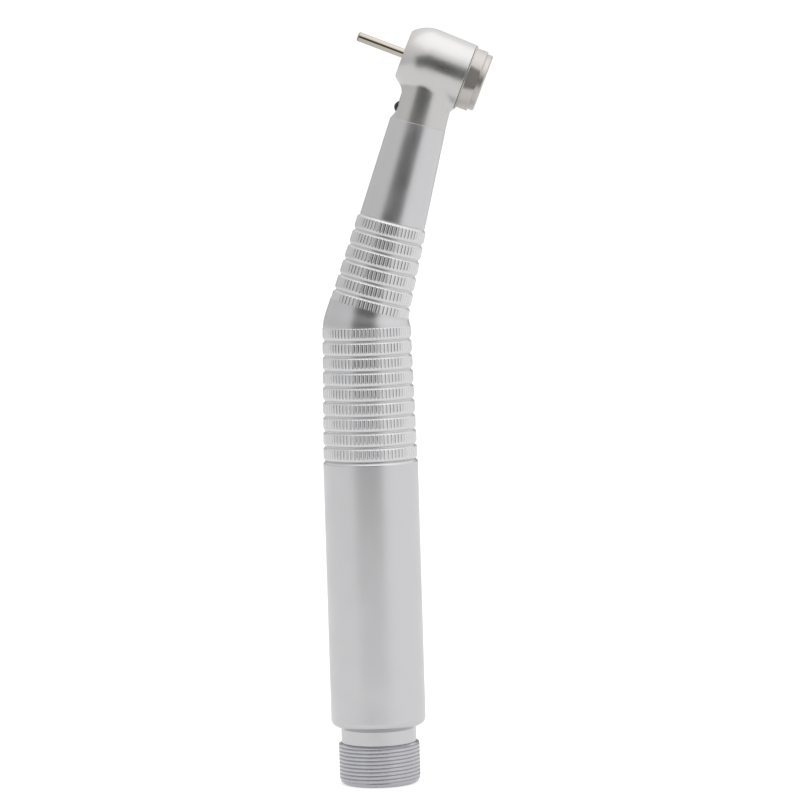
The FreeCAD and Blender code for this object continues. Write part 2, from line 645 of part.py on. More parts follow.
# --------------------------------------------------------------------------------- head
def make_head():
    """Head barrel and neck stub in one piece, bored for the turbine, the tubes and the spray nozzle."""
    barrel = [
        ("0", "-dim.head_front"),
        ("dim.front_flat_r", "-dim.head_front"),
        ("dim.head_r", "dim.front_round - dim.head_front", "dim.front_round_r"),
        ("dim.head_r", "0"),
        ("dim.cap_seam_r", "dim.cap_seam"),
        ("0", "dim.cap_seam"),
    ]
    spigot_low = "dim.seam_z - dim.spigot_len"
    slot_low = f"{NECK_SEAL_Z} - dim.seal_slot / 2"
    slot_high = f"{NECK_SEAL_Z} + dim.seal_slot / 2"
    seal_floor = "dim.spigot_r - 2 * dim.seal_r * 0.6"
    stub = [
        ("0", spigot_low),
        ("dim.spigot_r", spigot_low),
        ("dim.spigot_r", slot_low),
        (seal_floor, slot_low),
        (seal_floor, slot_high),
        ("dim.spigot_r", slot_high),
        ("dim.spigot_r", "dim.seam_z"),
        ("dim.seam_r", "dim.seam_z"),
        ("dim.stub_waist_r", "dim.seam_z + 1.6"),
        ("dim.stub_root_r", f"{HEAD_AT} - dim.chamber_r"),
        ("0", f"{HEAD_AT} - dim.chamber_r"),
    ]
    outside = joined("head_outside", [turned("head_barrel", "head", barrel), turned("stub", "neck", stub)])
    seal_low = f"-{BEARING_AT} - dim.seal_slot / 2"
    seal_high = f"-{BEARING_AT} + dim.seal_slot / 2"
    floor = f"-{BEARING_END} - dim.floor_gap"
    chamber = [
        ("0", "-dim.head_front - 1"),
        ("dim.front_hole_r", "-dim.head_front - 1"),
        ("dim.front_hole_r", floor),
        (SEAT_R, floor),
        (SEAT_R, seal_low),
        (SEAL_OUT_R, seal_low),
        (SEAL_OUT_R, seal_high),
        (SEAT_R, seal_high),
        (SEAT_R, "-dim.chamber_half"),
        ("dim.chamber_r", "-dim.chamber_half"),
        ("dim.chamber_r", "dim.cap_seam + 1"),
        ("0", "dim.cap_seam + 1"),
    ]
    socket_top = f"{STUB_FLOOR} + dim.tube_socket"
    seat_low = f"{NOZZLE_Z} - dim.nozzle_len * sin(dim.nozzle_aim)"
    drive = {"x": "dim.drive_x", "y": "dim.drive_y"}
    tools = [
        turned("chamber", "head", chamber),
        peg("stub_bore", "neck", "dim.spigot_r - dim.spigot_wall", f"{spigot_low} - 1", STUB_FLOOR),
        peg("drive_socket", "neck", "dim.drive_tube_r", STUB_FLOOR, socket_top, **drive),
        peg("drive_jet", "neck", "dim.jet_r", STUB_FLOOR, f"{HEAD_AT} - dim.hub_r", **drive),
        peg("exhaust_passage", "neck", "dim.vent_r", STUB_FLOOR, f"{HEAD_AT} - dim.hub_r",
            x="dim.vent_x", y="dim.vent_y"),
        peg("nozzle_seat", "neck", "dim.nozzle_r", seat_low, f"{seat_low} + dim.nozzle_len + 2",
            x="-dim.nozzle_out + dim.nozzle_len * cos(dim.nozzle_aim)", turn="dim.nozzle_aim - 90"),
    ]
    for name, side in (("chip_socket", 1), ("water_socket", -1)):
        tools.append(peg(name, "neck", "dim.spray_tube_r", STUB_FLOOR, socket_top,
                         x="dim.spray_x", y=f"{side} * dim.spray_y"))
    facet = place(doc.addObject("Part::Box", "facet_tool"), "neck", turn="dim.facet_lean",
                  x="-dim.facet_r - dim.facet_len * cos(dim.facet_lean)", y="-dim.head_r",
                  z="dim.seam_z + dim.facet_rise + dim.facet_len * sin(dim.facet_lean)")
    facet.setExpression("Length", "dim.facet_len")
    facet.setExpression("Width", "2 * dim.head_r")
    facet.setExpression("Height", "dim.facet_len")
    tools.append(facet)
    keep("head_housing", cut("head", outside, joined("head_inside", tools)))


def make_nozzle():
    """Short tube with a rounded mouth, pointing at the bur's tip."""
    points = [
        ("dim.nozzle_bore", "-dim.nozzle_len"),
        ("dim.nozzle_r", "-dim.nozzle_len"),
        ("dim.nozzle_r", "-0.3"),
        ("dim.nozzle_r - 0.3", "0", "0.3"),
        ("dim.nozzle_bore", "0"),
    ]
    body = turned("nozzle", "neck", points, x="-dim.nozzle_out", z=NOZZLE_Z,
                  turn="dim.nozzle_aim - 90")
    keep("spray_nozzle", body)


def make_cap():
    """Cap ring with a spigot that holds the rear bearing, a web that holds the button, and four flats."""
    spigot_low = "dim.chamber_half"
    seal_low = f"{BEARING_AT} - dim.seal_slot / 2"
    seal_high = f"{BEARING_AT} + dim.seal_slot / 2"
    points = [
        (SEAT_R, spigot_low),
        ("dim.chamber_r", spigot_low),
        ("dim.chamber_r", "dim.cap_seam"),
        ("dim.cap_seam_r", "dim.cap_seam"),
        ("dim.cap_top_r", "dim.cap_top - 0.25"),
        ("dim.cap_top_r - 0.25", "dim.cap_top"),
        ("dim.button_r + dim.button_gap", "dim.cap_top"),
        ("dim.button_r + dim.button_gap", WEB_TOP),
        ("dim.stem_r + dim.button_gap", WEB_TOP),
        ("dim.stem_r + dim.button_gap", WEB_LOW),
        ("dim.clip_pocket_r", WEB_LOW),
        ("dim.clip_pocket_r", WASHER_TOP),
        (SEAT_R, WASHER_TOP),
        (SEAT_R, seal_high),
        (SEAL_OUT_R, seal_high),
        (SEAL_OUT_R, seal_low),
        (SEAT_R, seal_low),
    ]
    body = turned("cap", "head", points)
    sketch = new_sketch(body, "flat_outline", "XY_Plane", "dim.cap_top")
    flat_x = "sqrt(dim.cap_seam_r ^ 2 - (dim.flat_w / 2) ^ 2)"
    outline(sketch, [
        (flat_x, "-dim.flat_w"),
        ("dim.cap_seam_r + 1", "-dim.flat_w"),
        ("dim.cap_seam_r + 1", "dim.flat_w"),
        (flat_x, "dim.flat_w"),
    ])
    flat = pocket(body, "wrench_flat", sketch, "dim.flat_len")
    polar(body, "wrench_flats", flat, "4")
    keep("back_cap", body)


def make_button():
    """Hollow button with a stem through the cap's web and a groove for its clip."""
    groove_high = f"{WEB_LOW} - dim.clip_gap"
    groove_low = f"{groove_high} - dim.clip_t"
    skirt_end = f"{BUTTON_TOP} - dim.button_skirt"
    points = [
        ("0", STEM_END),
        ("dim.stem_r", STEM_END),
        ("dim.stem_r", groove_low),
        ("dim.stem_r - dim.clip_grip", groove_low),
        ("dim.stem_r - dim.clip_grip", groove_high),
        ("dim.stem_r", groove_high),
        ("dim.stem_r", PLATE_UNDER),
        ("dim.button_r - dim.button_wall", PLATE_UNDER),
        ("dim.button_r - dim.button_wall", skirt_end),
        ("dim.button_r", skirt_end),
        ("dim.button_r", f"{BUTTON_TOP} - dim.button_edge"),
        ("dim.button_r - dim.button_edge", BUTTON_TOP),
        ("0", BUTTON_TOP),
    ]
    keep("push_button", turned("button", "head", points))
    keep("button_retainer", ring("clip", "head", "dim.stem_r - dim.clip_grip", "dim.clip_r",
                                 groove_low, groove_high))


def make_spring(name, coil_r, wire_r, pitch, low, high):
    """A round wire coil between two heights of the head frame."""
    body = new_body(f"{name}_coil", "head")
    sketch = new_sketch(body, f"{name}_wire")
    circle(sketch, coil_r, f"{low} + {wire_r}", wire_r)
    coil = body.newObject("PartDesign::AdditiveHelix", f"{name}_helix")
    coil.Profile = sketch
    coil.ReferenceAxis = (sketch, ["V_Axis"])
    coil.Mode = 0
    coil.setExpression("Pitch", pitch)
    coil.setExpression("Height", f"({high}) - ({low}) - 2 * {wire_r}")
    doc.recompute()
    keep(name, body)


# --------------------------------------------------------------------------------- turbine
def make_bearing(side, sign):
    """Rings, shield, cage and balls of one bearing; sign is -1 in front and 1 at the rear."""
    middle = f"{sign} * {BEARING_AT}"
    half = "dim.bearing_w / 2"
    low = f"{middle} - {half}"
    high = f"{middle} + {half}"
    cup = f"sqrt({POCKET_R} ^ 2 - ({PITCH_R} - dim.race_in_r) ^ 2)"
    inner = [
        ("dim.shaft_r", low),
        ("dim.race_in_r", low),
        ("dim.race_in_r", f"{middle} - {cup}"),
        ("dim.race_in_r", f"{middle} + {cup}", f"-{POCKET_R}"),
        ("dim.race_in_r", high),
        ("dim.shaft_r", high),
    ]
    keep(f"{side}_inner_ring", turned(f"{side}_inner", "head", inner))
    cup = f"sqrt({POCKET_R} ^ 2 - (dim.race_out_r - {PITCH_R}) ^ 2)"
    outer = [
        ("dim.race_out_r", low),
        ("dim.bearing_r", low),
        ("dim.bearing_r", high),
        ("dim.race_out_r", high),
        ("dim.race_out_r", f"{middle} + {cup}"),
        ("dim.race_out_r", f"{middle} - {cup}", f"-{POCKET_R}"),
    ]
    keep(f"{side}_outer_ring", turned(f"{side}_outer", "head", outer))
    face = f"{middle} + {sign} * {half}"
    edges = sorted([f"{face} - {sign} * 0.02", f"{face} - {sign} * (0.02 + dim.shield_t)"], key=val)
    keep(f"{side}_bearing_shield", ring(f"{side}_shield", "head", "dim.race_in_r + dim.shield_gap",
                                        "dim.race_out_r", *edges))
    cage = ring(f"{side}_cage_ring", "head", f"{PITCH_R} - dim.cage_wall", f"{PITCH_R} + dim.cage_wall",
                f"{middle} - dim.cage_half", f"{middle} + dim.cage_half")
    hole = ball_feature(cage, f"{side}_pocket", "PartDesign::Groove", POCKET_R, middle)
    polar(cage, f"{side}_pockets", hole, "dim.ball_count")
    keep(f"{side}_cage", cage)
    balls = new_body(f"{side}_ball_body", "head")
    first = ball_feature(balls, f"{side}_ball", "PartDesign::Revolution", "dim.ball_r", middle)
    polar(balls, f"{side}_ball_row", first, "dim.ball_count")
    keep(f"{side}_balls", balls)
    keep(f"{side}_o_ring", torus(f"{side}_seal", "head", "dim.bearing_r + dim.seal_r", "dim.seal_r", middle))


def ball_feature(body, name, kind, radius, height):
    """Adds or cuts one ball on the bearing's pitch circle, turned from half a disc about its own edge."""
    sketch = new_sketch(body, f"{name}_half")
    middle = Vector(val(PITCH_R), val(height), 0)
    reach = Vector(0, val(radius), 0)
    arc = Part.ArcOfCircle(Part.Circle(middle, Vector(0, 0, 1), val(radius)), -math.pi / 2, math.pi / 2)
    sketch.addGeometry([arc, Part.LineSegment(middle + reach, middle - reach)])
    sketch.addConstraint([
        Sketcher.Constraint("Coincident", 0, 2, 1, 1),
        Sketcher.Constraint("Coincident", 0, 1, 1, 2),
        Sketcher.Constraint("Vertical", 1),
        Sketcher.Constraint("PointOnObject", 0, 3, 1),
    ])
    for measure, spot, text in (("DistanceX", (0, 3), PITCH_R), ("DistanceY", (0, 3), height),
                                ("Radius", (0,), radius)):
        number = sketch.addConstraint(Sketcher.Constraint(measure, *spot, val(text)))
        sketch.setExpression(f"Constraints[{number}]", text)
    feature = body.newObject(kind, name)
    feature.Profile = sketch
    feature.ReferenceAxis = (sketch, ["Edge2"])
    feature.Angle = 360
    doc.recompute()
    return feature


def make_spindle():
    """Hollow spindle with a step for the chuck spring, and the ring that closes its rear end."""
    points = [
        ("dim.bore_front_r", "-dim.spindle_front"),
        ("dim.shaft_r", "-dim.spindle_front"),
        ("dim.shaft_r", BEARING_END),
        ("dim.bore_rear_r", BEARING_END),
        ("dim.bore_rear_r", "dim.bore_step"),
        ("dim.bore_front_r", "dim.bore_step"),
    ]
    keep("spindle", turned("spindle_body", "head", points))
    keep("spindle_plug", ring("plug", "head", "dim.plunger_r + dim.slide_gap", "dim.bore_rear_r",
                              f"{BEARING_END} - dim.plug_t", BEARING_END))


def make_impeller():
    """Hub with curved blades."""
    body = ring("impeller_hub", "head", "dim.shaft_r", "dim.hub_r", "-dim.impeller_half",
                "dim.impeller_half")
    sketch = new_sketch(body, "blade_outline", "XY_Plane", "-dim.impeller_half")
    root = "dim.hub_r - 0.2"
    tip = "sqrt(dim.impeller_r ^ 2 - dim.blade_t ^ 2)"
    outline(sketch, [
        (root, "0"),
        (tip, "0", "dim.blade_curve"),
        (tip, "dim.blade_t"),
        (root, "dim.blade_t", "-dim.blade_curve"),
    ])
    blade = body.newObject("PartDesign::Pad", "blade")
    blade.Profile = sketch
    blade.setExpression("Length", "2 * dim.impeller_half")
    doc.recompute()
    polar(body, "blades", blade, "dim.blade_count")
    keep("impeller", body)


# --------------------------------------------------------------------------------- chuck and bur
def make_chuck():
    """Slotted collet round the bur's shank, and the plunger that the button pushes."""
    collet = ring("collet", "head", "dim.bur_r + dim.grip_gap", COLLET_R, "-dim.collet_front",
                  COLLET_REAR)
    sketch = new_sketch(collet, "slot_outline", "XY_Plane", "dim.slot_len - dim.collet_front")
    outline(sketch, [
        ("0.1", "-dim.slot_w / 2"),
        ("dim.shaft_r", "-dim.slot_w / 2"),
        ("dim.shaft_r", "dim.slot_w / 2"),
        ("0.1", "dim.slot_w / 2"),
    ])
    slot = pocket(collet, "finger_slot", sketch)
    polar(collet, "finger_slots", slot, "3")
    keep("chuck_collet", collet)
    points = [
        ("0", COLLET_REAR),
        ("dim.bore_rear_r - dim.slide_gap", COLLET_REAR),
        ("dim.bore_rear_r - dim.slide_gap", PLUNGER_TOP),
        ("dim.plunger_r", PLUNGER_TOP),
        ("dim.plunger_r", PLUNGER_END),
        ("0", PLUNGER_END),
    ]
    keep("chuck_plunger", turned("plunger", "head", points))


def make_bur():
    """Plain mandrel with a rounded tip."""
    tip = "-dim.bur_tip"
    points = [
        ("0", tip),
        ("dim.bur_r - dim.bur_round", tip),
        ("dim.bur_r", f"{tip} + dim.bur_round", "dim.bur_round"),
        ("dim.bur_r", f"{tip} + dim.bur_len"),
        ("0", f"{tip} + dim.bur_len"),
    ]
    keep("bur", turned("bur_body", "head", points))


def check_and_write():
    """Stops on any failed object or bad shape, then writes one file for each sub-part."""
    doc.recompute()
    failed = [item.Name for item in doc.Objects if {"Invalid", "Error"} & set(item.State)]
    bad = [name for name, thing in pieces.items() if thing.Shape.isNull() or not thing.Shape.isValid()]
    if failed or bad:
        raise RuntimeError(f"failed objects {failed}, bad shapes {bad}")
    os.makedirs("parts", exist_ok=True)
    for name, thing in pieces.items():
        thing.Shape.exportStep(f"parts/{name}.step")
        print(f"{name:22s} {thing.Shape.Volume:9.3f} mm3, {len(thing.Shape.Solids)} solid(s)")


make_connector()
make_gasket()
make_nipples()
keep("connector_o_ring", torus("collar_seal", "barrel", "dim.plug_r - dim.seal_r", "dim.seal_r",
                               COLLAR_SEAL_Z))
make_handle()
make_tubes()
make_head()
keep("neck_o_ring", torus("neck_seal", "neck", "dim.spigot_r - 0.6 * dim.seal_r", "0.6 * dim.seal_r",
                          NECK_SEAL_Z))
make_nozzle()
make_cap()
make_button()
make_spring("button_spring", "dim.button_coil_r", "dim.button_wire_r", "dim.button_turn", WEB_TOP,
            PLATE_UNDER)
for bearing_side, bearing_sign in (("front", -1), ("rear", 1)):
    make_bearing(bearing_side, bearing_sign)
keep("preload_washer", ring("washer", "head", "dim.bearing_r - dim.washer_wall", "dim.bearing_r",
                            BEARING_END, WASHER_TOP))
make_spindle()
make_impeller()
make_chuck()
make_spring("chuck_spring", f"({COLLET_R} + dim.bore_rear_r) / 2", "dim.chuck_wire_r", "dim.chuck_turn",
            "dim.bore_step", COLLET_REAR)
make_bur()
check_and_write()
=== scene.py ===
"""High speed dental handpiece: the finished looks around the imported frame.

Shapes are worked out in millimetres in three local frames that follow the frame's own joint axis, and are
written to the meshes in metres:
  BARREL  the row frame itself
  NECK    origin where the two handle axes cross, +Z up the neck
  HEAD    origin in the middle of the turbine, +Z along the bur axis towards the button, +X down the neck
"""
import json
import math

import bpy
import numpy as np
from mathutils import Matrix, Vector


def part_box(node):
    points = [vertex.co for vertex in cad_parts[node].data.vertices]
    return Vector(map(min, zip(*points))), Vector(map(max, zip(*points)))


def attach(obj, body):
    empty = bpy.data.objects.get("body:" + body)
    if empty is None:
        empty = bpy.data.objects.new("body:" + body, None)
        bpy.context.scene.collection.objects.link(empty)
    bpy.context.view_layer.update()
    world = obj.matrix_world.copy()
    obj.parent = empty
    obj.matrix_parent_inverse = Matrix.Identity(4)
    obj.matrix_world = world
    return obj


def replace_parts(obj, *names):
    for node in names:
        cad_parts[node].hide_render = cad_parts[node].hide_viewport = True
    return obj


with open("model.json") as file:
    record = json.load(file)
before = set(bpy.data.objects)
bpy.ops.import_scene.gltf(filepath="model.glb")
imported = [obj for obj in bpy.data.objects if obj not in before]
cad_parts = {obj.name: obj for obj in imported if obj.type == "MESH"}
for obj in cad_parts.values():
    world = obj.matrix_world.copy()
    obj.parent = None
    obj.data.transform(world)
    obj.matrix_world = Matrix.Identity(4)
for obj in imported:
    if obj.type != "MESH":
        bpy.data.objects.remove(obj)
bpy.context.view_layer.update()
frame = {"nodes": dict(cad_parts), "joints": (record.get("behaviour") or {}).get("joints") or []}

MM = 0.001
TURN = 2 * math.pi

# --------------------------------------------------------------------------------- places from the frame
HEAD_TILT = 6.0                   # degrees the bur axis leans past square to the neck
spin = next(joint for joint in frame["joints"] if joint["name"] == "rotor_spin")
node_box = {name: np.array(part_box(name)) / MM for name in frame["nodes"]}
head_centre = np.array(spin["pos_m"]) / MM
cap_axis = np.array(spin["axis"]) * np.sign(spin["axis"][0])
head_angle = math.atan2(cap_axis[0], cap_axis[2])
bend = head_angle - math.radians(90 + HEAD_TILT)
neck_length = head_centre[0] / math.sin(bend)
bend_z = head_centre[2] - neck_length * math.cos(bend)

BARREL = (np.zeros(3), 0.0)
NECK = (np.array([0.0, 0.0, bend_z]), bend)
HEAD = (head_centre, head_angle)

# --------------------------------------------------------------------------------- sizes in millimetres
EDGE = 0.06                       # the small rounding that every machined edge has
GUARD = 0.05                      # distance of the guard points beside a rounding

BARREL_R = node_box["handle_shell"][1][1]
SLEEVE_TOP = node_box["handle_shell"][0][2]
COLLAR_R = 6.35
COLLAR_TOP = 9.45
SHOULDER_EDGE = 10.35             # height where the shoulder's slope would meet the barrel's side
SHOULDER_ROUND = 1.1
BARREL_BORE = 6.7
PLUG_R = 5.5
PLUG_TOP = node_box["connector_body"][1][2]

GRIP_Z, GRIP_PITCH, GRIP_RINGS = 55.0, 2.533, 9
GRIP_R = (7.95, 7.43)             # crest radii of the lowest and highest lower rings
GRIP_FLUTES = 72
FINGER_Z, FINGER_PITCH, FINGER_RINGS = 1.3, 2.656, 6
FINGER_R = (6.8, 5.88)            # crest radii of the lowest and highest upper rings
FINGER_FLUTES = 58
GROOVE = 0.35                     # depth of the grooves between rings
FLUTE = 0.08                      # depth of the knurl's flutes
RING_WALL = 0.9
FINGER_TOP = FINGER_Z + FINGER_PITCH * FINGER_RINGS

NECK_R = (5.58, 4.75)             # plain neck, at its foot and at the seam
STUB_LENGTH = 10.2                # from the seam to the middle of the turbine
SEAM = neck_length - STUB_LENGTH

HEAD_R = node_box["head_housing"][1][1]
FRONT_FACE = -5.3
ROUND_FROM = -1.1                 # the front of the head is a ball about this point of the axis
FRONT_HOLE, FRONT_WALL = 1.95, 0.8
CHAMBER_R, CHAMBER_FRONT_R, CHAMBER_STEP = 4.5, 3.25, -2.0
CAP_SEAM, CAP_SEAM_R = 5.7, 5.62
CAP_TOP, CAP_TOP_R = 7.9, 5.42
FLAT_FROM, FLAT_AT, FLAT_EDGE = 6.0, 5.21, math.radians(21.5)
BUTTON_R, BUTTON_TOP, BUTTON_GAP = 4.87, 8.9, 0.06

STUB_Z = np.array([0.0, 0.9, 2.0, 3.4, 5.0, 7.0, 10.2])      # distance above the seam
STUB_R = np.array([4.71, 4.70, 4.68, 4.66, 4.66, 4.7, 4.8])
SCOOP_R, SCOOP_X, SCOOP_Z = 5.11, 8.85, SEAM + 3.0           # the round cut that the spray nozzle stands in


# --------------------------------------------------------------------------------- surfaces
def in_row_frame(points, axes):
    """Points of a local frame in the row frame: a turn about Y, then the frame's origin is added."""
    origin, angle = axes
    across, side, along = points[..., 0], points[..., 1], points[..., 2]
    x = across * math.cos(angle) + along * math.sin(angle)
    z = along * math.cos(angle) - across * math.sin(angle)
    return np.stack([x, side, z], axis=-1) + origin


def rounded(corners, closed=True, steps=6):
    """An outline whose corners (radius, height, rounding) are arcs tangent to both sides.

    An arc point is its centre plus the two end spokes, mixed by the sines of the angles left and gone, over
    the sine of the whole turn. A guard point stands just before and after each arc, so that the flats
    beside it shade flat. An open outline keeps its first and last corner as they are.
    """
    table = np.array(corners, dtype=float)
    here, radius = table[:, :2], table[:, 2:]
    before = np.roll(here, 1, axis=0) - here
    after = np.roll(here, -1, axis=0) - here
    before /= np.linalg.norm(before, axis=1, keepdims=True)
    after /= np.linalg.norm(after, axis=1, keepdims=True)
    cosine = np.clip(np.sum(before * after, axis=1, keepdims=True), -0.99999, 0.99999)
    half = np.arccos(cosine) / 2
    reach = radius / np.tan(half)
    middle = before + after
    middle /= np.linalg.norm(middle, axis=1, keepdims=True) + 1e-12
    centre = here + middle * radius / np.sin(half)
    first = here + before * reach - centre
    last = here + after * reach - centre
    sweep = math.pi - 2 * half
    share = np.linspace(0, 1, steps)[:, None, None]
    arc = centre + (np.sin((1 - share) * sweep) * first + np.sin(share * sweep) * last) / np.sin(sweep)
    guards_in = (here + before * (reach + GUARD))[None]
    guards_out = (here + after * (reach + GUARD))[None]
    runs = np.concatenate([guards_in, arc, guards_out]).transpose(1, 0, 2)
    if closed:
        outline = runs.reshape(-1, 2)
    else:
        outline = np.concatenate([here[:1], runs[1:-1].reshape(-1, 2), here[-1:]])
    step = np.linalg.norm(np.diff(outline, axis=0, prepend=outline[:1] - 1), axis=1)
    return outline[step > 1e-4]


def lathe(outline, columns):
    """A turned shape: each outline point (radius, height) goes round the axis once."""
    angle = np.arange(columns) * TURN / columns
    radius, height = outline[:, :1], outline[:, 1:]
    return np.stack([radius * np.cos(angle), radius * np.sin(angle), height + 0 * angle], axis=-1)


def add_piece(name, body, finish, grid, axes, ring=True, wear_and_shade=None, soft_below=40):
    """One closed mesh from a grid of points, where rows run up the outside and columns run round it.

    Each face joins four neighbours. A ring joins its last row to its first. Otherwise each end row is closed
    by a fan to its own middle. The per-point wear-and-shade value runs from 0 in a recess to 1 on a polished
    edge: the finish paints the recess darker as painted shade, and makes the edge smoother as real wear.
    """
    rows, columns = grid.shape[:2]
    index = np.arange(rows * columns).reshape(rows, columns)
    beside = np.roll(index, -1, axis=1)
    low, low_beside = index, beside
    high, high_beside = np.roll(index, -1, axis=0), np.roll(beside, -1, axis=0)
    if not ring:
        low, low_beside, high, high_beside = low[:-1], low_beside[:-1], high[:-1], high_beside[:-1]
    faces = np.stack([low, low_beside, high_beside, high], axis=-1).reshape(-1, 4).tolist()
    points = grid.reshape(-1, 3)
    point_wear_and_shade = np.full(len(points), 0.5) if wear_and_shade is None else np.broadcast_to(wear_and_shade, (rows, columns)).ravel()
    if not ring:
        ends = np.stack([grid[0].mean(axis=0), grid[-1].mean(axis=0)])
        foot, top = len(points), len(points) + 1
        faces += np.stack([np.full(columns, foot), beside[0], index[0]], axis=-1).tolist()
        faces += np.stack([np.full(columns, top), index[-1], beside[-1]], axis=-1).tolist()
        points = np.concatenate([points, ends])
        point_wear_and_shade = np.concatenate([point_wear_and_shade, [0.5, 0.5]])
    mesh = bpy.data.meshes.new(name)
    mesh.from_pydata((in_row_frame(points, axes) * MM).tolist(), [], faces)
    mesh.attributes.new("wear_and_shade", "FLOAT", "POINT").data.foreach_set("value", point_wear_and_shade.astype(np.float32))
    mesh.shade_smooth()
    mesh.set_sharp_from_angle(angle=math.radians(soft_below))
    mesh.materials.append(finish)
    piece = bpy.data.objects.new(name, mesh)
    bpy.context.scene.collection.objects.link(piece)
    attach(piece, body)
    return piece


# --------------------------------------------------------------------------------- materials
CLOUD_MM = 6.0                    # size of the metals' broad cloudiness
STREAK_MM = 50.0                  # length of a turning mark along the cut
NOISE_LOW, NOISE_HIGH = 0.3, 0.7  # where nearly all of a noise texture's values lie


def colour(hexes):
    """An sRGB hex colour as a linear one."""
    parts = [int(hexes[i:i + 2], 16) / 255 for i in (0, 2, 4)]
    return [c / 12.92 if c <= 0.04045 else ((c + 0.055) / 1.055) ** 2.4 for c in parts] + [1.0]


def add_node(tree, kind, inputs=None, **settings):
    """A node with its settings, whose inputs are given as values or as the outputs that feed them."""
    node = tree.nodes.new(kind)
    for key, value in settings.items():
        setattr(node, key, value)
    for key, value in (inputs or {}).items():
        if isinstance(value, bpy.types.NodeSocket):
            tree.links.new(value, node.inputs[key])
        else:
            node.inputs[key].default_value = value
    return node


def start_material(name):
    """An empty material with its output and a Principled shader."""
    material = bpy.data.materials.new(name)
    material.use_nodes = True
    tree = material.node_tree
    tree.nodes.clear()
    shader = add_node(tree, "ShaderNodeBsdfPrincipled")
    add_node(tree, "ShaderNodeOutputMaterial", {"Surface": shader.outputs["BSDF"]})
    return material, tree, shader


def metal(name, light, dark, rough, grain_mm, grain_depth, spread=0.05, polish=0.08, streak=None):
    """A metal whose grain, cloudiness and polished edges come from Object coordinates and the wear-and-shade
    attribute.

    light is its colour on a rubbed edge, and dark is its colour in a recess, where it is painted shade.
    grain_mm is the grain's size, spread is how far a broad cloudiness moves the roughness, and polish is how
    much smoother a rubbed edge is. streak, if given, is (axis angle, pitch in mm, share) of fine turning
    marks square to an axis in the bend plane.
    """
    material, tree, shader = start_material(name)
    place = add_node(tree, "ShaderNodeTexCoord").outputs["Object"]
    grain = add_node(tree, "ShaderNodeTexNoise",
                     {"Vector": place, "Scale": 1 / (grain_mm * MM), "Detail": 2.0, "Roughness": 0.6})
    cloud = add_node(tree, "ShaderNodeTexNoise",
                     {"Vector": place, "Scale": 1 / (CLOUD_MM * MM), "Detail": 3.0, "Roughness": 0.55})
    wear_and_shade = add_node(tree, "ShaderNodeAttribute", attribute_name="wear_and_shade")
    # Painted shade: the dark colour fills the recesses where the per-point value is low, the light colour
    # lies on rubbed edges.
    base = add_node(tree, "ShaderNodeMix", {0: wear_and_shade.outputs["Fac"], 6: colour(dark), 7: colour(light)},
                    data_type="RGBA")
    tree.links.new(base.outputs[2], shader.inputs["Base Color"])
    height = grain.outputs["Fac"]
    if streak:
        angle, pitch, share = streak
        turned = add_node(tree, "ShaderNodeMapping", {"Vector": place, "Rotation": (0, -angle, 0)})
        per_mark = (1 / (STREAK_MM * MM), 1 / (STREAK_MM * MM), 1 / (pitch * MM))
        drawn_out = add_node(tree, "ShaderNodeVectorMath", {0: turned.outputs[0], 1: per_mark},
                             operation="MULTIPLY")
        marks = add_node(tree, "ShaderNodeTexNoise",
                         {"Vector": drawn_out.outputs[0], "Scale": 1.0, "Detail": 2.0})
        height = add_node(tree, "ShaderNodeMix", {0: share, 2: height, 3: marks.outputs["Fac"]}).outputs[0]
    clouded = add_node(tree, "ShaderNodeMapRange",
                       {"Value": cloud.outputs["Fac"], 1: NOISE_LOW, 2: NOISE_HIGH,
                        3: rough - spread, 4: rough + spread})
    smoother = add_node(tree, "ShaderNodeMath", {0: wear_and_shade.outputs["Fac"], 1: -polish, 2: clouded.outputs[0]},
                        operation="MULTIPLY_ADD", use_clamp=True)
    tree.links.new(smoother.outputs[0], shader.inputs["Roughness"])
    bump = add_node(tree, "ShaderNodeBump", {"Strength": 1.0, "Distance": grain_depth * MM, "Height": height})
    tree.links.new(bump.outputs[0], shader.inputs["Normal"])
    shader.inputs["Metallic"].default_value = 1.0
    return material


def moulded(name, light, dark, rough, grain_mm, grain_depth, spread=0.06):
    """Rubber or plastic from a mould: a fine matt grain and a faint mottling of its colour."""
    material, tree, shader = start_material(name)
    place = add_node(tree, "ShaderNodeTexCoord").outputs["Object"]
    grain = add_node(tree, "ShaderNodeTexNoise",
                     {"Vector": place, "Scale": 1 / (grain_mm * MM), "Detail": 3.0, "Roughness": 0.6})
    base = add_node(tree, "ShaderNodeMix", {0: grain.outputs["Fac"], 6: colour(dark), 7: colour(light)},
                    data_type="RGBA")
    tree.links.new(base.outputs[2], shader.inputs["Base Color"])
    bump = add_node(tree, "ShaderNodeBump",
                    {"Strength": 1.0, "Distance": grain_depth * MM, "Height": grain.outputs["Fac"]})
    tree.links.new(bump.outputs[0], shader.inputs["Normal"])
    matt = add_node(tree, "ShaderNodeMapRange",
                    {"Value": grain.outputs["Fac"], 1: NOISE_LOW, 2: NOISE_HIGH,
                     3: rough - spread, 4: rough + spread})
    tree.links.new(matt.outputs[0], shader.inputs["Roughness"])
    return material


# Brass blasted with fine glass beads and then chromed: a soft, even, silvery sheen. A bead leaves dents of
# about 0.05 mm, drawn at 0.3 mm so that they show.
SATIN_CHROME = metal("satin_chrome_handle", "CFCFD0", "C0C0C2", 0.36, 0.3, 0.0016, streak=(0.0, 0.2, 0.25))
# The knurled rings, blasted less deeply and rubbed by gloves: the lands are smoother than the flutes, and the
# flutes' darker base colour is painted shade.
KNURL_CHROME = metal("satin_chrome_knurl", "D6D6D7", "CECECF", 0.34, 0.25, 0.0014, polish=0.12)
# The stainless head, finely blasted.
HEAD_STEEL = metal("satin_stainless_head", "CDCCCB", "BEBDBC", 0.35, 0.3, 0.0008)
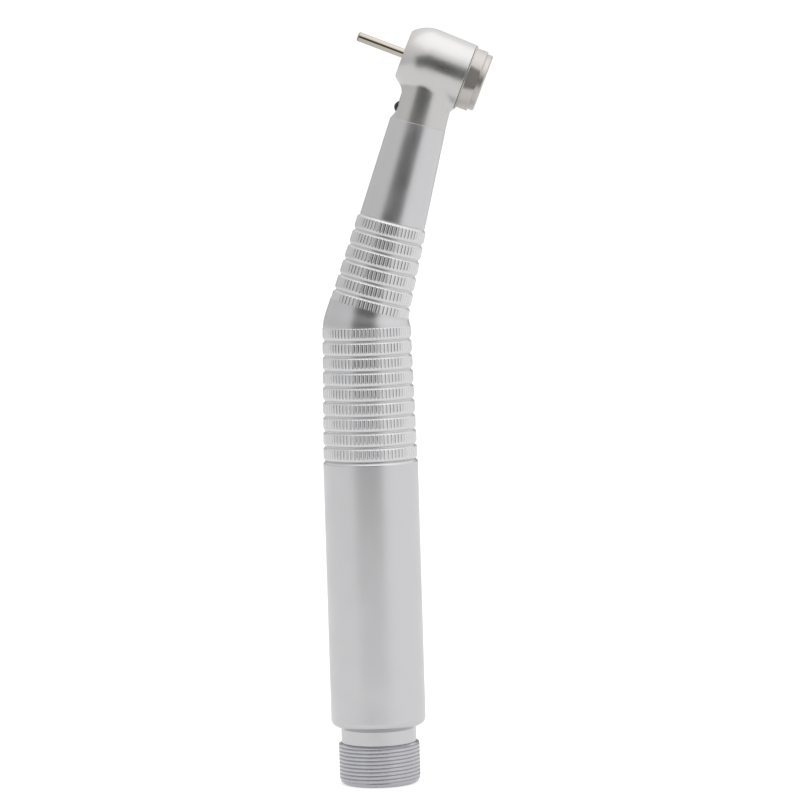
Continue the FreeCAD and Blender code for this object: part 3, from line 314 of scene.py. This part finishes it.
# The stainless cap and button, turned and lightly polished: softer than a mirror, with a faint warm cast.
CAP_STEEL = metal("polished_stainless_cap", "C6C2BE", "B2ADA9", 0.42, 0.3, 0.0008, spread=0.03,
                  streak=(head_angle, 0.1, 0.6))
# Nickel plate over a cut thread: the crests are smoother than the roots, and the roots' darker base colour is
# painted shade.
THREAD_NICKEL = metal("nickel_plated_thread", "BABABE", "9E9EA2", 0.32, 0.25, 0.0012, polish=0.06,
                      streak=(0.0, 0.08, 0.5))
# Ground carbide steel: nearly a mirror, with fine grinding marks round it.
BUR_STEEL = metal("ground_carbide_bur", "C4BDB2", "7C766E", 0.15, 0.3, 0.0006, spread=0.03,
                  streak=(head_angle, 0.07, 0.7))
# Blackened steel: the spray nozzle's oxide film is nearly black and slightly glossy.
NOZZLE_BLACK = metal("blackened_steel_nozzle", "4A4A4C", "2A2A2C", 0.34, 0.1, 0.002)
# Plain drawn stainless tube.
TUBE_STEEL = metal("drawn_stainless_tube", "C8C8CA", "A6A6A8", 0.24, 0.2, 0.0012, streak=(0.0, 0.2, 0.4))
# Ground bearing steel, bright.
BEARING_STEEL = metal("ground_bearing_steel", "D2D2D4", "A8A8AC", 0.15, 0.25, 0.0006)
# Turned rotor steel, a little greyer.
ROTOR_STEEL = metal("turned_rotor_steel", "BDBDC0", "929296", 0.22, 0.2, 0.001, streak=(head_angle, 0.1, 0.6))
# Milled aluminium, left as cut.
IMPELLER_ALLOY = metal("milled_aluminium_impeller", "D0D2D6", "A9ABB0", 0.28, 0.2, 0.0015)
# Hard drawn spring wire.
SPRING_WIRE = metal("drawn_spring_wire", "B4B2AE", "84827E", 0.26, 0.12, 0.001)
# Moulded silicone: a dull, slightly mottled grey-blue.
GASKET_RUBBER = moulded("moulded_silicone_gasket", "8A99A6", "74828E", 0.55, 0.25, 0.004)
# Moulded nitrile rubber: dull black.
SEAL_RUBBER = moulded("moulded_nitrile_seal", "2E2E30", "1C1C1E", 0.5, 0.15, 0.003)
# Filled resin ball cage: brown, matt.
CAGE_RESIN = moulded("filled_resin_cage", "7A5A36", "5E4326", 0.5, 0.1, 0.003)

for slot_name, finish in {
    "satin_chrome": SATIN_CHROME, "head_steel": HEAD_STEEL, "cap_steel": CAP_STEEL,
    "nickel": THREAD_NICKEL, "bur_steel": BUR_STEEL, "nozzle_dark": NOZZLE_BLACK,
    "tube_steel": TUBE_STEEL, "gasket_rubber": GASKET_RUBBER, "seal_rubber": SEAL_RUBBER,
    "bearing_steel": BEARING_STEEL, "rotor_steel": ROTOR_STEEL, "impeller_alloy": IMPELLER_ALLOY,
    "cage_resin": CAGE_RESIN, "spring_wire": SPRING_WIRE,
}.items():
    for node in frame["nodes"].values():
        for place in node.material_slots:
            if place.material and place.material.name.split(".")[0] == slot_name:
                place.material = finish


# --------------------------------------------------------------------------------- handle
def make_barrel():
    """The smooth barrel and its collar, turned from one outline."""
    outline = rounded([
        (PLUG_R, SLEEVE_TOP, EDGE),
        (COLLAR_R, SLEEVE_TOP, 0.1),
        (COLLAR_R, COLLAR_TOP, 0.2),
        (BARREL_R, SHOULDER_EDGE, SHOULDER_ROUND),
        (BARREL_R, GRIP_Z - 0.42, 0.28),
        (BARREL_R - GROOVE, GRIP_Z - 0.04, 0.05),
        (BARREL_R - GROOVE, GRIP_Z, 0.0),
        (BARREL_BORE, GRIP_Z, 0.0),
        (BARREL_BORE, PLUG_TOP + 1.2, 0.0),
        (PLUG_R, PLUG_TOP, 0.0),
    ])
    return add_piece("barrel", "handpiece", SATIN_CHROME, lathe(outline, 192), BARREL)


RING_ROWS = np.array([0, 0.028, 0.04, 0.055, 0.075, 0.10, 0.135, 0.175, 0.22, 0.255, 0.28, 0.34, 0.5, 0.7,
                      0.80, 0.822, 0.845, 0.88, 0.91, 0.945, 0.968])
FLUTE_COLUMNS = np.array([0.0, 0.36, 0.45, 0.54, 0.82, 0.91])
FLUTE_DEPTHS = np.array([0.0, 0.0, 0.5, 1.0, 1.0, 0.5])
KNURL_FROM, KNURL_FULL = 0.22, 0.255
GROOVE_END, CREST_FROM, CREST_END, RING_END = 0.028, 0.34, 0.822, 0.968


def knurled_rings(foot, pitch, rings, crest, flutes, lip):
    """A row of rings with flutes cut along them.

    Up one ring, the radius stays on the groove's narrow floor, rises along a quarter ellipse, stays on the
    crest, and falls back down a straight flank at about 45 degrees. The flutes are a trapezoid wave round
    the ring. They start at a ledge on the lower flank and run out through the upper one, so the radius is
    the lesser of the ring and the cut. lip is the depth of the lowest ring's foot below the crest: the
    groove's own depth, or less where the ring meets plain metal with no groove.
    """
    step = np.tile(RING_ROWS, rings)
    ring = np.repeat(np.arange(rings), len(RING_ROWS))
    height = foot + (ring + step) * pitch
    top = crest[0] + (crest[1] - crest[0]) * (ring + step) / rings
    short = np.clip((CREST_FROM - step) / (CREST_FROM - GROOVE_END), 0, 1)
    rise = np.sqrt(1 - short ** 2)
    fall = 1 - np.clip((step - CREST_END) / (RING_END - CREST_END), 0, 1)
    sunk = GROOVE * (1 - rise * fall)
    sunk = np.where((ring == 0) & (step < CREST_FROM), np.minimum(sunk, lip), sunk)
    angle = ((np.arange(flutes)[:, None] + FLUTE_COLUMNS) * TURN / flutes).ravel()
    wave = np.tile(FLUTE_DEPTHS, flutes)
    start = np.clip((step - KNURL_FROM) / (KNURL_FULL - KNURL_FROM), 0, 1)
    cut = FLUTE * start[:, None] * wave
    radius = np.minimum((top - sunk)[:, None], top[:, None] - cut)
    # Painted shade: 0 in the flutes and grooves, 1 on the crests; it darkens the recesses' base colour and
    # makes the crests smoother.
    wear_and_shade = np.clip(1 - (top[:, None] - radius) / FLUTE, 0, 1)
    outer = np.stack([radius * np.cos(angle), radius * np.sin(angle), height[:, None] + 0 * angle], axis=-1)
    wall_z = np.array([foot + rings * pitch, foot + rings * pitch, foot])[:, None]
    wall_r = np.array([top[-1] - GROOVE, crest[1] - GROOVE - RING_WALL,
                       crest[0] - GROOVE - RING_WALL])[:, None]
    wall = np.stack([wall_r * np.cos(angle), wall_r * np.sin(angle), wall_z + 0 * angle], axis=-1)
    grid = np.concatenate([outer, wall])
    return grid, np.concatenate([wear_and_shade, np.zeros((3, len(angle)))])


def make_grips():
    """The lower grip on the barrel and the upper grip on the neck."""
    for name, foot, pitch, rings, crest, flutes, lip, axes in (
        ("lower_grip", GRIP_Z, GRIP_PITCH, GRIP_RINGS, GRIP_R, GRIP_FLUTES, GROOVE, BARREL),
        ("upper_grip", FINGER_Z, FINGER_PITCH, FINGER_RINGS, FINGER_R, FINGER_FLUTES, 0.1, NECK),
    ):
        grid, wear_and_shade = knurled_rings(foot, pitch, rings, crest, flutes, lip)
        yield add_piece(name, "handpiece", KNURL_CHROME, grid, axes, wear_and_shade=wear_and_shade, soft_below=28)


def make_knee():
    """The plain knee between the grips: each line up it is a cubic from the lower circle to the upper one.

    Its foot covers the top ring's upper flank but for a small ledge. The cubic leaves along the barrel,
    arrives along the neck, and its end speeds are the distance between its ends. The middle of the inner
    side is nearly closed, and the outer side is a smooth bulge.
    """
    angle = np.arange(144) * TURN / 144
    ledge = 0.1
    low_r, high_r = GRIP_R[1] - ledge, FINGER_R[0] + 0.06
    low_z = GRIP_Z + GRIP_PITCH * (GRIP_RINGS - 1 + CREST_END + ledge / GROOVE * (RING_END - CREST_END))
    high_z = FINGER_Z + 0.32 * FINGER_PITCH
    circle = np.stack([np.cos(angle), np.sin(angle), 0 * angle], axis=-1)
    low = in_row_frame(circle * low_r + [0, 0, low_z], BARREL)
    high = in_row_frame(circle * high_r + [0, 0, high_z], NECK)
    speed = np.maximum(np.linalg.norm(high - low, axis=1, keepdims=True), 0.1)
    leave = speed * np.array([0, 0, 1.0])
    arrive = speed * np.array([math.sin(bend), 0, math.cos(bend)])
    share = np.linspace(0, 1, 15)[:, None, None]
    outer = ((2 * share ** 3 - 3 * share ** 2 + 1) * low + (share ** 3 - 2 * share ** 2 + share) * leave
             + (3 * share ** 2 - 2 * share ** 3) * high + (share ** 3 - share ** 2) * arrive)
    shrink = 0.8
    tall = in_row_frame(circle * high_r * shrink + [0, 0, high_z], NECK)[None]
    short = in_row_frame(circle * low_r * shrink + [0, 0, low_z], BARREL)[None]
    grid = np.concatenate([outer, tall, short])
    return add_piece("knee", "handpiece", SATIN_CHROME, grid, BARREL, soft_below=30)


def make_neck():
    """The plain neck: a cone from the upper grip to the seam, where its edge is broken."""
    outline = rounded([
        (NECK_R[0] - RING_WALL, FINGER_TOP, 0.0),
        (NECK_R[0] - 0.05, FINGER_TOP, 0.0),
        (NECK_R[0], FINGER_TOP + 0.08, 0.05),
        (NECK_R[1], SEAM, 0.07),
        (NECK_R[1] - 0.75, SEAM, 0.0),
    ])
    return add_piece("neck", "handpiece", SATIN_CHROME, lathe(outline, 160), NECK)


# --------------------------------------------------------------------------------- connector
def make_connector():
    """The threaded sleeve with its cup and its seat in the barrel.

    The thread's radius is a trapezoid wave of height over pitch less angle over one turn, cut below an
    elliptical chamfer at the rear rim and a straight one in front, and run out before the rim. Rows before
    it run from the middle of the cup's floor down its wall and round the rim, and rows after it close the
    seat inside the barrel.
    """
    pitch, depth, crest_r, run_out, columns = 0.635, 0.13, 6.85, 0.35, 288
    rim_r, rim_rise, cup_r, cup_floor = 5.95, 1.4, 5.4, 5.0
    front_step, front_slope = 0.15, 1.4
    middle_r, row_height = 0.3, 0.036
    rows = int(SLEEVE_TOP / row_height)
    height = np.linspace(0, SLEEVE_TOP, rows)[:, None]
    angle = np.arange(columns) * TURN / columns
    phase = (height / pitch - angle / TURN) % 1
    away = np.abs(phase - 0.5)
    wave = 1 - (1 - np.clip((away - 0.05) / 0.2, 0, 1)) * np.clip((height - run_out) / pitch, 0, 1)
    rear = rim_r + (crest_r - rim_r) * np.sqrt(1 - np.clip(1 - height / rim_rise, 0, 1) ** 2)
    front = COLLAR_R + front_step + (SLEEVE_TOP - height) * front_slope
    limit = np.minimum(np.minimum(rear, front), crest_r)
    radius = np.maximum(limit - depth * (1 - wave), np.minimum(rim_r, limit))
    # Painted shade: 0 in the thread's roots, 1 on the crests; it darkens the roots' base colour and makes the
    # crests smoother.
    wear_and_shade = np.clip(1 - (limit - radius) / depth, 0, 1)
    outer = np.stack([radius * np.cos(angle), radius * np.sin(angle), height + 0 * angle], axis=-1)
    inside = rounded([(middle_r, cup_floor, 0.0), (cup_r, cup_floor, 0.15), (cup_r, 0.0, 0.12),
                      (rim_r - 0.12, 0.0, 0.0)], closed=False)
    seat = rounded([(COLLAR_R, SLEEVE_TOP, 0.0), (PLUG_R, SLEEVE_TOP, 0.0), (PLUG_R, PLUG_TOP, 0.1),
                    (middle_r, PLUG_TOP, 0.0)], closed=False)
    grid = np.concatenate([lathe(inside, columns), outer, lathe(seat, columns)])
    wear_and_shade = np.concatenate([np.full((len(inside), columns), 0.7), wear_and_shade, np.full((len(seat), columns), 0.5)])
    return add_piece("threaded_sleeve", "handpiece", THREAD_NICKEL, grid, BARREL, ring=False,
                     wear_and_shade=wear_and_shade, soft_below=50)


# --------------------------------------------------------------------------------- head
def head_gap(point):
    """Signed distance, negative inside, from a NECK point to the head's outside.

    Along the bur axis it is a ball in front and a slight cone behind, cut by the flat front face.
    """
    lean = head_angle - bend
    across, side, along = point[..., 0], point[..., 1], point[..., 2] - neck_length
    axial = across * math.sin(lean) + along * math.cos(lean)
    over = across * math.cos(lean) - along * math.sin(lean)
    radial = np.hypot(over, side)
    taper = (HEAD_R - CAP_SEAM_R) / (CAP_SEAM - ROUND_FROM)
    cone = radial - (HEAD_R - taper * (axial - ROUND_FROM))
    ball = np.hypot(radial, axial - ROUND_FROM) - HEAD_R
    body = np.where(axial < ROUND_FROM, ball, cone)
    return np.maximum(np.maximum(body, FRONT_FACE - axial), axial - CAP_SEAM + 0.1)


def stub_gap(point):
    """Signed distance from a NECK point to the stub: a slim waisted post, scooped where the jet looks out.

    The scoop is a round cut along Y on the bur side, eased into the post along its edge.
    """
    across, side, along = point[..., 0], point[..., 1], point[..., 2]
    post = np.hypot(across, side) - np.interp(along - SEAM, STUB_Z, STUB_R)
    scoop = SCOOP_R - np.hypot(across + SCOOP_X, along - SCOOP_Z)
    ease = 0.25
    mix = np.clip(0.5 + (scoop - post) / (2 * ease), 0, 1)
    return post * (1 - mix) + scoop * mix + ease * mix * (1 - mix)


def make_head():
    """The head's turned outside with its chamber, and the neck stub that grows out of it.

    The stub's surface is found along rays from the neck's axis. They are level at the seam, and higher up
    they come from the head's centre. Each ray steps on by most of its gap till it rests on the surface. Head
    and stub are blended by a fillet that widens towards the cap, and the whole lies a hair (sink) inside
    the turned head, so that the two never flicker.
    """
    columns, rows = 224, 110
    ball = np.linspace(math.asin((ROUND_FROM - FRONT_FACE) / HEAD_R), 0, 28)
    dome = np.stack([HEAD_R * np.cos(ball), ROUND_FROM - HEAD_R * np.sin(ball)], axis=-1)
    face = rounded([(FRONT_HOLE, FRONT_FACE + FRONT_WALL, 0.0), (FRONT_HOLE, FRONT_FACE, 0.14),
                    (dome[0, 0], FRONT_FACE, 0.4), (dome[3, 0], dome[3, 1], 0.0)], closed=False)
    rear = rounded([(HEAD_R, ROUND_FROM, 0.0), (CAP_SEAM_R, CAP_SEAM, 0.09), (CHAMBER_R, CAP_SEAM, 0.0),
                    (CHAMBER_R, CHAMBER_STEP, 0.0), (CHAMBER_FRONT_R, CHAMBER_STEP, 0.0),
                    (CHAMBER_FRONT_R, FRONT_FACE + FRONT_WALL, 0.0)], closed=False)
    outline = np.concatenate([face[:-1], dome[3:-1], rear])
    head = add_piece("head_shell", "handpiece", HEAD_STEEL, lathe(outline, columns), HEAD)

    last_row, central_from = 1.0, 3.0             # distances below the head's centre
    height = np.linspace(SEAM, neck_length - last_row, rows)[:, None]
    lift = np.clip((height - SEAM) / (neck_length - central_from - SEAM), 0, 1)
    start = height + (neck_length - height) * lift
    polar = np.arctan2(STUB_R[0], start - height)
    angle = np.arange(columns) * TURN / columns
    ray = np.stack([np.sin(polar) * np.cos(angle), np.sin(polar) * np.sin(angle),
                    -np.cos(polar) + 0 * angle], axis=-1)
    cap_side = (1 + np.cos(angle)) / 2
    fillet = 0.4 + 1.0 * cap_side ** 2
    origin = start[..., None] * [0, 0, 1]
    near = np.full(ray.shape[:2], 2.0)
    sink = 0.01
    for _ in range(200):
        point = origin + ray * near[..., None]
        first, second = head_gap(point), stub_gap(point)
        join = np.clip(fillet - np.abs(first - second), 0, None) / fillet
        gap = np.minimum(first, second) - join ** 2 * fillet / 4 + sink
        near = near - 0.8 * gap
    outer = origin + ray * near[..., None]
    inner = (origin + ray * 0.9 * near[..., None])[[-1, rows // 2 + 5, 0]]
    stub = add_piece("head_stub", "handpiece", HEAD_STEEL, np.concatenate([outer, inner]), NECK,
                     soft_below=50)
    return head, stub


def make_nozzle():
    """The spray nozzle: a turned dome with a fine bore, looking up at the bur's tip."""
    radius, bore, sunk, aim = 1.1, 0.28, 1.2, math.radians(-50)
    dome = np.linspace(0, math.acos(bore / radius) - 0.06, 14)
    cap = np.stack([radius * np.cos(dome), radius * np.sin(dome)], axis=-1)
    outline = np.concatenate([[(bore, -sunk), (radius, -sunk)], cap, [(bore, cap[-1, 1] - 0.04)]])
    centre = in_row_frame(np.array([-3.5, 0.0, SEAM + 2.0]), NECK)
    return add_piece("spray_dome", "handpiece", NOZZLE_BLACK, lathe(outline, 48),
                     (centre, bend + aim))


def make_cap():
    """The back cap: a turned ring whose outside is cut by four wrench flats.

    Where a flat lies, the radius is the lesser of the ring's own and the flat's distance over the cosine of
    the angle from its middle.
    """
    outline = rounded([
        (BUTTON_R + BUTTON_GAP, CAP_SEAM + 0.05, 0.0),
        (CAP_SEAM_R, CAP_SEAM + 0.05, 0.09),
        (CAP_SEAM_R - 0.03, FLAT_FROM - 0.03, 0.0),
        (CAP_SEAM_R - 0.03, FLAT_FROM + 0.03, 0.0),
        (CAP_TOP_R, CAP_TOP, 0.14),
        (BUTTON_R + BUTTON_GAP, CAP_TOP, 0.08),
    ])
    sector = np.concatenate([np.linspace(-FLAT_EDGE, FLAT_EDGE, 15)[:-1],
                             np.linspace(FLAT_EDGE, TURN / 4 - FLAT_EDGE, 15)[:-1]])
    angle = (np.arange(4)[:, None] * TURN / 4 + sector).ravel()
    radius = np.repeat(outline[:, :1], len(angle), axis=1)
    height = np.repeat(outline[:, 1:], len(angle), axis=1)
    flat = FLAT_AT / np.cos((angle + TURN / 8) % (TURN / 4) - TURN / 8)
    on_flat = (height > FLAT_FROM) & (radius > BUTTON_R + 0.3)
    radius = np.where(on_flat, np.minimum(radius, flat), radius)
    grid = np.stack([radius * np.cos(angle), radius * np.sin(angle), height], axis=-1)
    return add_piece("cap_ring", "handpiece", CAP_STEEL, grid, HEAD, soft_below=24)


def make_button():
    """The push button: plate, skirt and stem, turned from one outline."""
    plate, wall, skirt, stem_r, stem_end = 0.6, 0.55, 2.0, 1.25, 5.15
    outline = rounded([
        (0.2, stem_end, 0.0),
        (stem_r, stem_end, 0.08),
        (stem_r, BUTTON_TOP - plate, 0.05),
        (BUTTON_R - wall, BUTTON_TOP - plate, 0.05),
        (BUTTON_R - wall, BUTTON_TOP - skirt, 0.03),
        (BUTTON_R, BUTTON_TOP - skirt, 0.03),
        (BUTTON_R, BUTTON_TOP - 0.2, 0.06),
        (BUTTON_R - 0.2, BUTTON_TOP, 0.06),
        (0.2, BUTTON_TOP, 0.0),
    ], closed=False)
    return add_piece("button", "button", CAP_STEEL, lathe(outline, 160), HEAD, ring=False,
                     soft_below=50)


def make_bur():
    """The bur: a ground shank with a rounded tip, painted darker and rougher over its last 0.5 mm towards the
    tip.
    """
    radius, tip, tail = 0.8, -13.5, 3.1
    outline = rounded([(0.05, tip, 0.0), (radius, tip, 0.3), (radius, tail, 0.06), (0.05, tail, 0.0)],
                      closed=False, steps=8)
    # Darker towards the tip: 0 at the tip, rising to 1 at 0.5 mm up the shank.
    wear_and_shade = np.clip((outline[:, 1:] - tip) / 0.5, 0, 1)
    return add_piece("bur_shank", "bur", BUR_STEEL, lathe(outline, 72), HEAD, ring=False,
                     wear_and_shade=wear_and_shade)


handle = [make_barrel(), *make_grips(), make_knee(), make_neck()]
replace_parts(handle[0], "handle_shell")
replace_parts(make_connector(), "connector_body")
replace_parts(make_head()[0], "head_housing")
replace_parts(make_nozzle(), "spray_nozzle")
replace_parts(make_cap(), "back_cap")
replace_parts(make_button(), "push_button")
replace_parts(make_bur(), "bur")


# --------------------------------------------------------------------------------- studio
def plain_surface(name, tone, rough):
    """A plain matt studio surface."""
    material, _, shader = start_material(name)
    shader.inputs["Base Color"].default_value = colour(tone)
    shader.inputs["Roughness"].default_value = rough
    return material


def add_card(name, centre, half_width, half_height, facing, material):
    """An upright rectangle in millimetres, turned about Z by facing degrees."""
    turn = math.radians(facing)
    side = np.array([math.cos(turn), math.sin(turn), 0.0]) * half_width
    up = np.array([0.0, 0.0, half_height])
    corners = np.array(centre, dtype=float) + np.array([-side - up, side - up, side + up, -side + up])
    mesh = bpy.data.meshes.new(name)
    mesh.from_pydata((corners * MM).tolist(), [], [(0, 1, 2, 3)])
    mesh.materials.append(material)
    card = bpy.data.objects.new(name, mesh)
    bpy.context.scene.collection.objects.link(card)
    return card


def white_paper():
    """The floor's paper on a light table: lit from below as well, it hardly darkens under the object.

    Mirrored in the metal it is a shade greyer, as paper beyond the lights is.
    """
    material, tree, shader = start_material("white_paper")
    mirrored = add_node(tree, "ShaderNodeLightPath").outputs["Is Glossy Ray"]
    tone = add_node(tree, "ShaderNodeMix", {0: mirrored, 6: colour("D0D0D0"), 7: colour("B0B0B0")},
                    data_type="RGBA")
    tree.links.new(tone.outputs[2], shader.inputs["Base Color"])
    shader.inputs["Roughness"].default_value = 0.9
    shader.inputs["Emission Color"].default_value = colour("FFFFFF")
    shader.inputs["Emission Strength"].default_value = 0.5
    return material


def make_floor():
    """A plain pale floor under the object."""
    half = 3000
    mesh = bpy.data.meshes.new("floor")
    corners = np.array([(-half, -half, 0), (half, -half, 0), (half, half, 0), (-half, half, 0)], dtype=float)
    mesh.from_pydata((corners * MM).tolist(), [], [(0, 1, 2, 3)])
    mesh.materials.append(white_paper())
    floor = bpy.data.objects.new("floor", mesh)
    bpy.context.scene.collection.objects.link(floor)


def make_flags():
    """A dark card before the object, a grey and a pale one behind, seen only in its reflections."""
    dark = plain_surface("dark_card", "444444", 0.9)
    middle = plain_surface("middle_grey_card", "8E8E8E", 0.9)
    pale = plain_surface("pale_card", "B8B8B8", 0.9)
    for name, centre, half_width, half_height, finish in (
        ("front_flag", (-28, -300, 142), 200, 112, dark),
        ("rear_flag", (40, 420, 150), 130, 110, middle),
        ("rear_screen", (0, 800, 200), 520, 200, pale),
    ):
        card = add_card(name, centre, half_width, half_height, 0, finish)
        card.visible_camera = False
        card.visible_diffuse = False
        card.visible_shadow = False
        card.visible_transmission = False


def make_lights():
    """A white tent: a sky that is a little brighter above and on the right, and one soft overhead light."""
    world = bpy.data.worlds.new("white_tent")
    bpy.context.scene.world = world
    world.use_nodes = True
    tree = world.node_tree
    tree.nodes.clear()
    even, level, more_right, more_above = 1.08, 0.85, 0.21, 0.36
    place = add_node(tree, "ShaderNodeTexCoord").outputs["Generated"]
    way = add_node(tree, "ShaderNodeSeparateXYZ", {0: place})
    sideways = add_node(tree, "ShaderNodeMath", {0: way.outputs["X"], 1: more_right, 2: level},
                        operation="MULTIPLY_ADD")
    upwards = add_node(tree, "ShaderNodeMath", {0: way.outputs["Z"], 1: more_above, 2: sideways.outputs[0]},
                       operation="MULTIPLY_ADD")
    mirrored = add_node(tree, "ShaderNodeLightPath").outputs["Is Glossy Ray"]
    strength = add_node(tree, "ShaderNodeMix", {0: mirrored, 2: even, 3: upwards.outputs[0]})
    sky = add_node(tree, "ShaderNodeBackground", {"Color": colour("FFFFFF"), "Strength": strength.outputs[0]})
    add_node(tree, "ShaderNodeOutputWorld", {"Surface": sky.outputs[0]})

    lamp = bpy.data.lights.new("overhead_softbox", "AREA")
    lamp.shape, lamp.size, lamp.energy = "SQUARE", 0.8, 0.8
    light = bpy.data.objects.new("overhead_softbox", lamp)
    light.location = (0.1, -0.1, 0.7)
    light.rotation_euler = (Vector((0.02, 0, 0.06)) - light.location).to_track_quat("-Z", "Y").to_euler()
    bpy.context.scene.collection.objects.link(light)


def make_camera():
    """A lens 0.65 m away, a little above and to the right of square on."""
    azimuth, elevation, roll = math.radians(1.5), math.radians(4.41), math.radians(-1.71)
    distance, target = 650.0, np.array([5.26, 0.0, 64.86])
    sensor, focal_in_frames = 36.0, 4.826
    back = Vector((math.sin(azimuth) * math.cos(elevation), -math.cos(azimuth) * math.cos(elevation),
                   math.sin(elevation)))
    level = Vector((math.cos(azimuth), math.sin(azimuth), 0))
    up = back.cross(level)
    right = level * math.cos(roll) + up * math.sin(roll)
    up = back.cross(right)
    lens = bpy.data.cameras.new("camera")
    lens.sensor_width, lens.lens = sensor, sensor * focal_in_frames
    lens.clip_start, lens.clip_end = 0.01, 20
    camera = bpy.data.objects.new("camera", lens)
    place = Vector(target * MM) + back * distance * MM
    camera.matrix_world = Matrix.Translation(place) @ Matrix((right, up, back)).transposed().to_4x4()
    bpy.context.scene.collection.objects.link(camera)
    bpy.context.scene.camera = camera


make_floor()
make_flags()
make_lights()
make_camera()
bpy.context.scene.view_settings.view_transform = "Standard"
